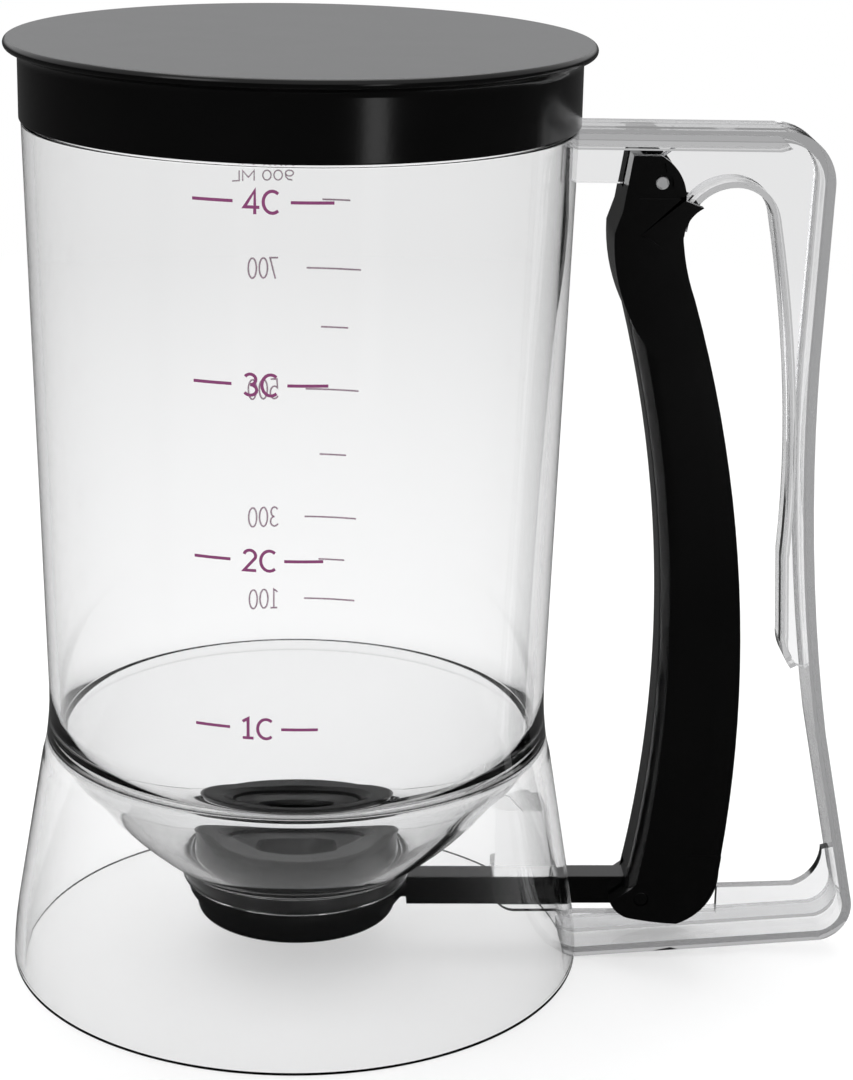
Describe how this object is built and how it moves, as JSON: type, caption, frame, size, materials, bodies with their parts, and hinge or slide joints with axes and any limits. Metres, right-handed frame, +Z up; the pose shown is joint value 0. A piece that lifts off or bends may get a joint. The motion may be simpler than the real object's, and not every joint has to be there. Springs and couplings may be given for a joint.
{
  "type": "pancake_batter_dispenser",
  "caption": "Hand-held pancake batter dispenser: clear tapered hopper on a flared skirt, black lift-off lid, clear T-section handle, and a black trigger lever that slides the outlet gate open.",
  "frame": {"origin": "Centre of the whole object's box in plan, at the table the skirt stands on.", "axes": "+Z up along the vessel's axis, +X from the vessel towards the handle, +Y across the handle."},
  "size_m": [0.1695, 0.114, 0.1836],
  "materials": {
    "clear_shell": "gloss",
    "black_lid": "satin",
    "black_parts": "gloss",
    "black_seat": "satin",
    "spring_steel": "satin"
  },
  "bodies": {
    "root": {"hopper": "clear_shell", "base_skirt": "clear_shell", "handle_frame": "clear_shell", "rod_guide": "clear_shell", "valve_seat": "black_seat", "outlet_ring": "black_parts", "pivot_pin": "clear_shell", "return_spring": "spring_steel"},
    "trigger": {"trigger_lever": "black_parts", "link_pin": "black_parts"},
    "slide": {"gate_slide": "black_parts"},
    "cap": {"lid": "black_lid"}
  },
  "joints": [
    {"name": "trigger_hinge", "type": "hinge", "parent": "root", "child": "trigger", "pos_m": [0.03945, 0, 0.1585], "axis": [0, -1, 0], "range_deg": [0, 4.95], "stiffness_Nm_per_rad": 5, "springref_deg": -5.73},
    {"name": "gate_travel", "type": "slide", "parent": "root", "child": "slide", "axis": [1, 0, 0], "range_m": [0, 0.01262]},
    {"name": "lid_lift", "type": "slide", "parent": "root", "child": "cap", "axis": [0, 0, 1], "range_m": [0, 0.04]}
  ],
  "couplings": [
    {"joint": "gate_travel", "follows": "trigger_hinge", "m_per_rad": 0.1459}
  ]
}
